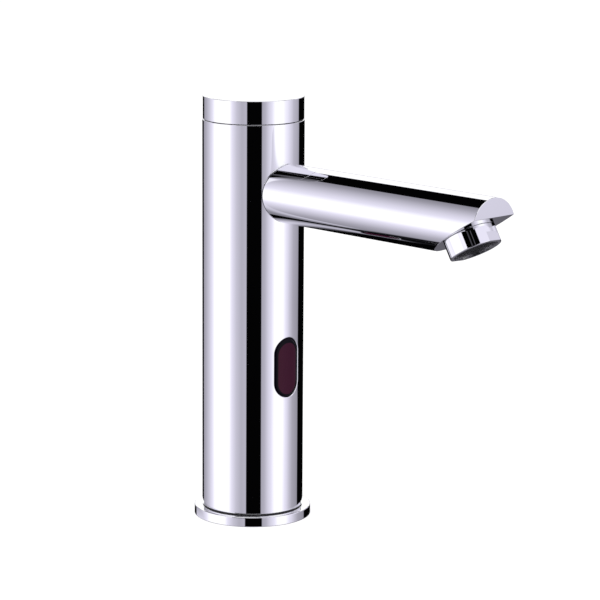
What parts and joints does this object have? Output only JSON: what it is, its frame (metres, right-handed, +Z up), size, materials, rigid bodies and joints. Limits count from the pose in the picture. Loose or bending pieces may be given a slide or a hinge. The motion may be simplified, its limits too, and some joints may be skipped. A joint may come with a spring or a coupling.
{
  "type": "sensor tap",
  "caption": "Deck-mounted sensor tap: chromed column on a round foot, horizontal round spout with a mitred tip and screw-in aerator, dark sensor window, valve inside.",
  "frame": {"origin": "centre of the base plate's underside, on the column's axis, at the deck", "axes": "+Z up along the column, -Y along the spout towards the user, +X to the right of someone who looks along +Y"},
  "size_m": [0.052, 0.1688, 0.189],
  "materials": {
    "chrome": "polished",
    "brass": "machined",
    "steel": "satin",
    "copper": "drawn",
    "rubber": "matt",
    "black_plastic": "matt",
    "pale_plastic": "matt",
    "aerator_plastic": "matt",
    "window": "polished",
    "clear_diode": "polished",
    "dark_diode": "polished",
    "board": "solder resist"
  },
  "bodies": {
    "root": {"base_plate": "chrome", "base_gasket": "rubber", "body_shell": "chrome", "body_grub_screws": "steel", "inlet_block": "brass", "cable_gland": "rubber", "inlet_strainer": "steel", "check_valve_housing": "pale_plastic", "check_valve_spring": "steel", "riser_pipe": "copper", "riser_o_rings": "rubber", "valve_body": "brass", "valve_bonnet": "brass", "bonnet_screws": "steel", "plunger_spring": "steel", "coil_bobbin": "black_plastic", "coil_winding": "copper", "coil_jacket": "black_plastic", "coil_yoke": "steel", "coil_nut": "steel", "outlet_elbow": "copper", "spout_o_ring": "rubber", "spout": "chrome", "spout_saddle_washer": "brass", "spout_nut": "brass", "sensor_window": "window", "sensor_gasket": "rubber", "sensor_housing": "black_plastic", "sensor_board": "board", "sensor_clip": "steel", "coil_lead": "black_plastic", "ir_emitter": "clear_diode", "ir_receiver": "dark_diode"},
    "aerator_seal": {"aerator_washer": "rubber"},
    "aerator": {"aerator_housing": "chrome", "aerator_insert": "aerator_plastic", "aerator_strainer": "pale_plastic"},
    "cap_seal": {"cap_o_ring": "rubber"},
    "cap": {"top_cap": "chrome"},
    "plunger": {"plunger": "steel", "plunger_seal": "rubber"},
    "membrane": {"diaphragm_plate": "pale_plastic", "diaphragm": "rubber"},
    "poppet": {"check_valve_poppet": "pale_plastic"}
  },
  "joints": [
    {"name": "aerator_lift", "type": "slide", "parent": "root", "child": "aerator_seal", "axis": [0, -0.512, -0.859], "range_m": [0, 0.004]},
    {"name": "aerator_turn", "type": "hinge", "parent": "aerator_seal", "child": "aerator", "pos_m": [0, -0.12905, 0.14448], "axis": [0, -0.512, -0.859], "range_deg": [0, 1440]},
    {"name": "cap_lift", "type": "slide", "parent": "root", "child": "cap_seal", "axis": [0, 0, 1], "range_m": [0, 0.004]},
    {"name": "cap_turn", "type": "hinge", "parent": "cap_seal", "child": "cap", "pos_m": [0, 0, 0.18], "axis": [0, 0, 1], "range_deg": [0, 1440]},
    {"name": "plunger_travel", "type": "slide", "parent": "root", "child": "plunger", "axis": [0, 0, 1], "range_m": [0, 0.002], "stiffness_N_per_m": 150, "springref_m": -0.004, "deforming": ["plunger_spring"]},
    {"name": "membrane_lift", "type": "slide", "parent": "root", "child": "membrane", "axis": [0, 0, 1], "range_m": [0, 0.0012], "deforming": ["diaphragm"]},
    {"name": "poppet_lift", "type": "slide", "parent": "root", "child": "poppet", "axis": [0, 0, 1], "range_m": [0, 0.003], "stiffness_N_per_m": 40, "springref_m": -0.004, "deforming": ["check_valve_spring"]}
  ],
  "couplings": [
    {"joint": "aerator_lift", "follows": "aerator_turn", "m_per_rad": 0.00015915},
    {"joint": "cap_lift", "follows": "cap_turn", "m_per_rad": 0.00015915},
    {"joint": "membrane_lift", "follows": "plunger_travel", "ratio": 0.6}
  ]
}
